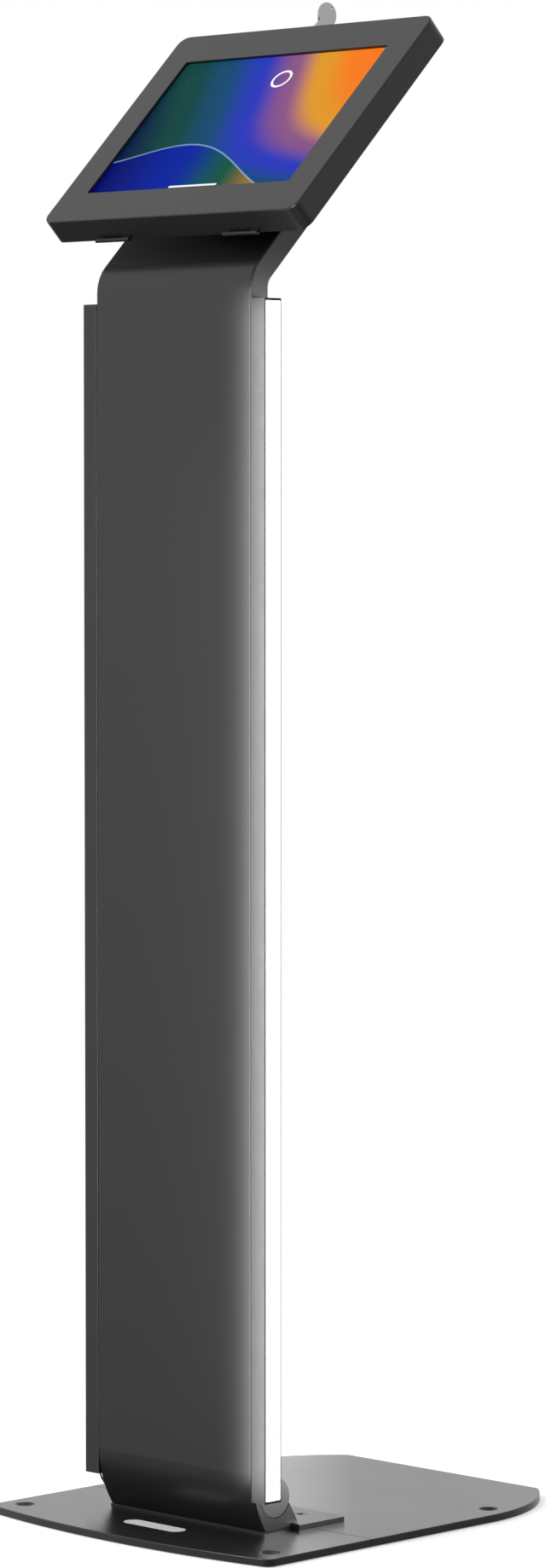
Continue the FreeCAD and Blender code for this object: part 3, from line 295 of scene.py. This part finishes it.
def tablet_shell():
    """Bead-blasted aluminium, printed black on the face that the cover glass lies on."""
    material = brushed_metal("tablet_aluminium", (0.35, 0.36, 0.38), 0.42)
    tree = material.node_tree
    shader = tree.nodes["Principled BSDF"]
    metal = shader.inputs["Base Color"].links[0].from_socket
    _, _, out = display_axes(tree)
    printed = out.step(*BLACK_PRINT_FROM)
    put(tree, shader.inputs["Base Color"], mix(tree, printed, metal, (0.004, 0.004, 0.004)))
    put(tree, shader.inputs["Metallic"], printed * -1.0 + 1.0)
    return material


def kiosk_screen():
    """The lit display: soft colour arcs over a swell, the lit crest of the swell, a ring and a bar."""
    material, tree, shader = new_material("kiosk_screen")
    across, up, _ = display_axes(tree)
    arc_centre, arc_reach = (150 * MM, 105 * MM), 330 * MM
    swell_height, swell_drop, swell_slope = 20 * MM, 48 * MM, 0.18
    crest_edge, crest_line = 0.6 * MM, (1.1 * MM, 0.4 * MM)
    ring_centre, ring_radius, ring_line = (12 * MM, 52 * MM), 9 * MM, (1.4 * MM, 0.9 * MM)
    bar_half, bar_drop, bar_line = 26 * MM, 72.5 * MM, (1.3 * MM, 0.8 * MM)

    ripple = (across * 21.0 + up * 9.0).sin() * (10 * MM) + (up * 34.0 - across * 12.0).sin() * (6 * MM)
    distance = (across - arc_centre[0]).hypot(up - arc_centre[1]) + ripple
    arcs = ramp(tree, distance * (1 / arc_reach), SCREEN_ARCS, "EASE")
    swell = up - (across * 24.0 + 2.2).sin() * swell_height + across * swell_slope + swell_drop
    lower = ramp(tree, across * 4.2 + 0.5, SCREEN_SWELL, "EASE")
    picture = mix(tree, (swell * -1.0).step(-crest_edge, crest_edge), arcs, lower)
    picture = mix(tree, swell.abs().step(*crest_line) * 0.45, picture, (0.45, 0.75, 1.0))

    from_ring = (across - ring_centre[0]).hypot(up - ring_centre[1]) - ring_radius
    from_bar = (across.abs() - bar_half).math("MAXIMUM", 0.0).hypot(up + bar_drop)
    white = from_ring.abs().step(*ring_line).math("MAXIMUM", from_bar.step(*bar_line))
    picture = mix(tree, white, picture, (1, 1, 1))

    shader.inputs["Base Color"].default_value = (0.005, 0.005, 0.006, 1)
    shader.inputs["Roughness"].default_value = 0.25
    shader.inputs["Specular IOR Level"].default_value = 0.0
    put(tree, shader.inputs["Emission Color"], picture)
    shader.inputs["Emission Strength"].default_value = SCREEN_GLOW
    return material


def make_materials():
    """One material for each slot of the record, and those of the head and the printed mark."""
    return {
        "black_steel": powder_coat("satin_black_coat", (0.009, 0.009, 0.0092), 0.34),
        "head": powder_coat("head_coat", (0.012, 0.012, 0.0122), 0.38, grain=1.3),
        "base_steel": powder_coat("base_coat", (0.011, 0.011, 0.0112), 0.28),
        "zinc_steel": brushed_metal("zinc_plate", (0.60, 0.61, 0.63), 0.32),
        "black_screw": brushed_metal("black_oxide", (0.06, 0.06, 0.065), 0.35),
        "tube_steel": powder_coat("tube_coat", (0.02, 0.02, 0.02), 0.45),
        "cap_plastic": moulded_plastic("cap_plastic", (0.028, 0.028, 0.029), 0.42),
        "black_aluminium": brushed_metal("dark_anodised", (0.012, 0.012, 0.0125), 0.38,
                                         along=(1, 1, 0.02), metallic=0.0),
        "diffuser": lit_diffuser(),
        "led_board": led_strip(),
        "black_plastic": moulded_plastic("black_plastic", (0.02, 0.02, 0.02), 0.5),
        "black_rubber": foam_rubber("black_rubber", (0.018, 0.018, 0.018)),
        "lock_chrome": brushed_metal("lock_chrome", (0.72, 0.72, 0.73), 0.14),
        "key_nickel": brushed_metal("key_nickel", (0.60, 0.60, 0.60), 0.30),
        "tablet_aluminium": tablet_shell(),
        "white_print": moulded_plastic("white_print", (0.85, 0.85, 0.85), 0.5),
        "display": kiosk_screen(),
        "cover_glass": cover_glass(),
        "foam": foam_rubber("foam", (0.03, 0.03, 0.03)),
    }


def dress_nodes(materials):
    """Give every node the material of its slot in the record, and the enclosure its coarser coat."""
    head_nodes = ("front_door", "back_plate")
    for entry in frame["record"]["subparts"]:
        name = entry["node"]
        material = materials["head" if name in head_nodes else entry["material_slot"]]
        NODES[name].data.materials.clear()
        NODES[name].data.materials.append(material)


# ---------- pieces added to the frame ----------

def add_mesh(name, mesh, material):
    """Turn a bmesh into an object of the scene."""
    data = bpy.data.meshes.new(name)
    mesh.to_mesh(data)
    mesh.free()
    data.materials.append(material)
    piece = bpy.data.objects.new(name, data)
    bpy.context.collection.objects.link(piece)
    return piece


def printed_mark(material):
    """Plain white stadium printed on the front of the base."""
    _, base_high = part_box("base_front_plate")
    column_low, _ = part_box("column_shell")
    half_length, radius, film, lift, before_column = 24 * MM, 8 * MM, 0.08 * MM, 0.02 * MM, 21 * MM
    steps = 16  # edges in each round end
    centre = Vector((0, column_low.y - before_column, base_high.z + lift))
    outline = []
    for side, start in ((1, -math.pi / 2), (-1, math.pi / 2)):
        for i in range(steps + 1):
            angle = start + math.pi * i / steps
            outline.append(centre + Vector((side * half_length + radius * math.cos(angle),
                                            radius * math.sin(angle), 0)))
    mesh = bmesh.new()
    face = mesh.faces.new([mesh.verts.new(point) for point in outline])
    raised = bmesh.ops.extrude_face_region(mesh, geom=[face])["geom"]
    top = [item for item in raised if isinstance(item, bmesh.types.BMVert)]
    bmesh.ops.translate(mesh, vec=(0, 0, film), verts=top)
    bmesh.ops.recalc_face_normals(mesh, faces=mesh.faces)
    piece = add_mesh("printed_mark", mesh, material)
    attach(piece, "stand")


# ---------- camera, light and floor ----------

CAMERA_LENS, CAMERA_SENSOR = 120.28, 36  # millimetres
CAMERA_AZIMUTH = math.radians(44.827)
CAMERA_PITCH = math.radians(3.002)
CAMERA_DISTANCE = 4.063
CAMERA_TARGET = Vector((0.1115, -0.1220, 0.5988))


def make_camera():
    """Camera at the photograph's viewing angle, from the front right and a little above."""
    data = bpy.data.cameras.new("camera")
    data.lens = CAMERA_LENS
    data.sensor_width = CAMERA_SENSOR
    camera = bpy.data.objects.new("camera", data)
    bpy.context.collection.objects.link(camera)
    away = Vector((math.sin(CAMERA_AZIMUTH) * math.cos(CAMERA_PITCH),
                   -math.cos(CAMERA_AZIMUTH) * math.cos(CAMERA_PITCH), math.sin(CAMERA_PITCH)))
    camera.location = CAMERA_TARGET + away * CAMERA_DISTANCE
    camera.rotation_euler = (math.radians(90) - CAMERA_PITCH, 0, CAMERA_AZIMUTH)
    bpy.context.scene.camera = camera


# Brightness of the surroundings, from straight below (0) over the horizon (0.5) to straight above (1).
ROOM_LEVELS = ((0.0, 0.12), (0.30, 0.15), (0.38, 0.28), (0.42, 0.75), (0.45, 0.85), (0.485, 0.88),
               (0.51, 1.0), (0.58, 0.92), (0.75, 0.78), (1.0, 0.78))
ROOM_LEFT_GAIN, ROOM_RIGHT_GAIN = 1.4, 0.6


def room_ramp(tree, height, gain):
    """The room's light by height, times a gain."""
    return ramp(tree, height, [(position, (level * gain,) * 3) for position, level in ROOM_LEVELS])


def make_world():
    """White to the camera. The room that lights the object is dark below and brighter on the left."""
    world = bpy.data.worlds.new("studio")
    world.use_nodes = True
    tree = world.node_tree
    axes = add_node(tree, "SeparateXYZ", Vector=add_node(tree, "TexCoord").outputs["Generated"])
    from_left, from_below = (Field(tree, axes.outputs[axis]) * 0.5 + 0.5 for axis in "XZ")
    room = mix(tree, from_left, room_ramp(tree, from_below, ROOM_LEFT_GAIN),
               room_ramp(tree, from_below, ROOM_RIGHT_GAIN))
    is_camera = add_node(tree, "LightPath").outputs["Is Camera Ray"]
    background = tree.nodes["Background"]
    put(tree, background.inputs["Color"], mix(tree, is_camera, room, (1, 1, 1)))
    background.inputs["Strength"].default_value = 1.0
    bpy.context.scene.world = world


def make_floor():
    """Pale round floor, which neither lights the object nor shows in its gloss."""
    material, _, shader = new_material("floor")
    radius, sides, gap = 14.0, 96, 0.5 * MM
    shader.inputs["Base Color"].default_value = (0.86, 0.86, 0.86, 1)
    shader.inputs["Roughness"].default_value = 0.9
    shader.inputs["Specular IOR Level"].default_value = 0.0
    shader.inputs["Emission Color"].default_value = (1, 1, 1, 1)
    shader.inputs["Emission Strength"].default_value = 0.35
    mesh = bmesh.new()
    bmesh.ops.create_circle(mesh, cap_ends=True, segments=sides, radius=radius)
    floor = add_mesh("floor", mesh, material)
    floor.location.z = CAD_BOX[0].z - gap
    floor.visible_glossy = False
    floor.visible_diffuse = False


WATTS_PER_RADIANCE = 4  # for each square metre of an area light


def area_light(name, place, aim, size, power, glossy=True, diffuse=True):
    """Rectangular light that the camera doesn't see."""
    data = bpy.data.lights.new(name, "AREA")
    data.shape = "RECTANGLE"
    data.size, data.size_y = size
    data.energy = power
    light = bpy.data.objects.new(name, data)
    light.location = place
    light.rotation_euler = (Vector(aim) - Vector(place)).to_track_quat("-Z", "Y").to_euler()
    light.visible_camera = False
    light.visible_glossy = glossy
    light.visible_diffuse = diffuse
    bpy.context.collection.objects.link(light)
    return light


def card(toward, away, width, heights, radiance, aside=0.0, half_spread=None, on=None):
    """Upright card that only shows as a reflection in the painted steel.

    toward is the level direction from the front right edge of the column to the card and away
    is the distance. aside shifts the card to the left as seen from the column. heights are its
    lower and upper edge. half_spread is the angle from straight ahead at which a shielded card
    goes dark. on names the nodes that the card lights, if not all.
    """
    bar_low, bar_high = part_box("led_housing_right")
    low_z, high_z = heights
    direction = Vector((*toward, 0)).normalized()
    left = Vector((-direction.y, direction.x, 0))
    place = Vector((bar_high.x, bar_low.y, (low_z + high_z) / 2)) + direction * away + left * aside
    size = (width, high_z - low_z)
    power = WATTS_PER_RADIANCE * radiance * size[0] * size[1]
    light = area_light("card", place, place - direction, size, power, diffuse=False)
    if half_spread:
        light.data.spread = 2 * half_spread
        light.data.energy *= 1 - half_spread / math.tan(half_spread)  # as bright as with no shield
    if on:
        lit = bpy.data.collections.new("lit_by_" + light.name)
        for name in on:
            lit.objects.link(NODES[name])
        light.light_linking.receiver_collection = lit


def make_lights():
    """A soft key, and cards that show only in the gloss of the steel."""
    bars_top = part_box("led_housing_right")[1].z
    head_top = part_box("front_door")[1].z
    foot_top = 0.30

    to_camera = (math.sin(CAMERA_AZIMUTH), -math.cos(CAMERA_AZIMUTH))
    to_back = (-to_camera[0], -to_camera[1])
    front_mirror = (-to_camera[0], to_camera[1])
    side_mirror = (to_camera[0], -to_camera[1])

    foot = ("foot_bracket", "tube_caps", "column_shell")
    base = ("base_front_plate", "base_rear_plate", "foot_bracket")
    upright = ("column_shell", "led_housing_left", "led_housing_right", "led_end_caps", "front_door")

    area_light("key", place=(-2.2, -1.6, 3.2), aim=(0, 0, 0.7), size=(2.4, 2.4), power=52, glossy=False)

    # The grey of the front panel, and the bright line along its rounded edge.
    card(front_mirror, away=0.32, aside=0.20, width=0.42, heights=(0.06, bars_top - 0.12), radiance=0.72)
    card(front_mirror, away=0.08, aside=0.052, width=0.116, heights=(0.03, bars_top + 0.005),
         radiance=15.0, half_spread=math.radians(48))
    # The right side of the foot, and of the bend at the top of the column.
    card(side_mirror, away=0.16, width=0.30, heights=(0.02, foot_top), radiance=9.0, on=foot)
    card(side_mirror, away=0.22, width=0.24, heights=(bars_top - 0.10, bars_top), radiance=9.0,
         half_spread=math.radians(42), on=("column_shell",))
    # A strip towards the camera, for the edges that face it.
    card(to_camera, away=1.50, width=0.60, heights=(-0.3, head_top), radiance=14.0, on=upright)
    # The glow on the base behind the column, fading out to the right in strips.
    strips, strip_width = 8, 0.008
    for i in range(strips):
        card(to_back, away=0.46, aside=-0.012 - strip_width * i, width=strip_width,
             heights=(-0.02, foot_top), radiance=0.5 * (1 - i / strips), on=base)


materials = make_materials()
dress_nodes(materials)
printed_mark(materials["white_print"])
make_camera()
make_world()
make_floor()
make_lights()
bpy.context.scene.view_settings.view_transform = "Standard"
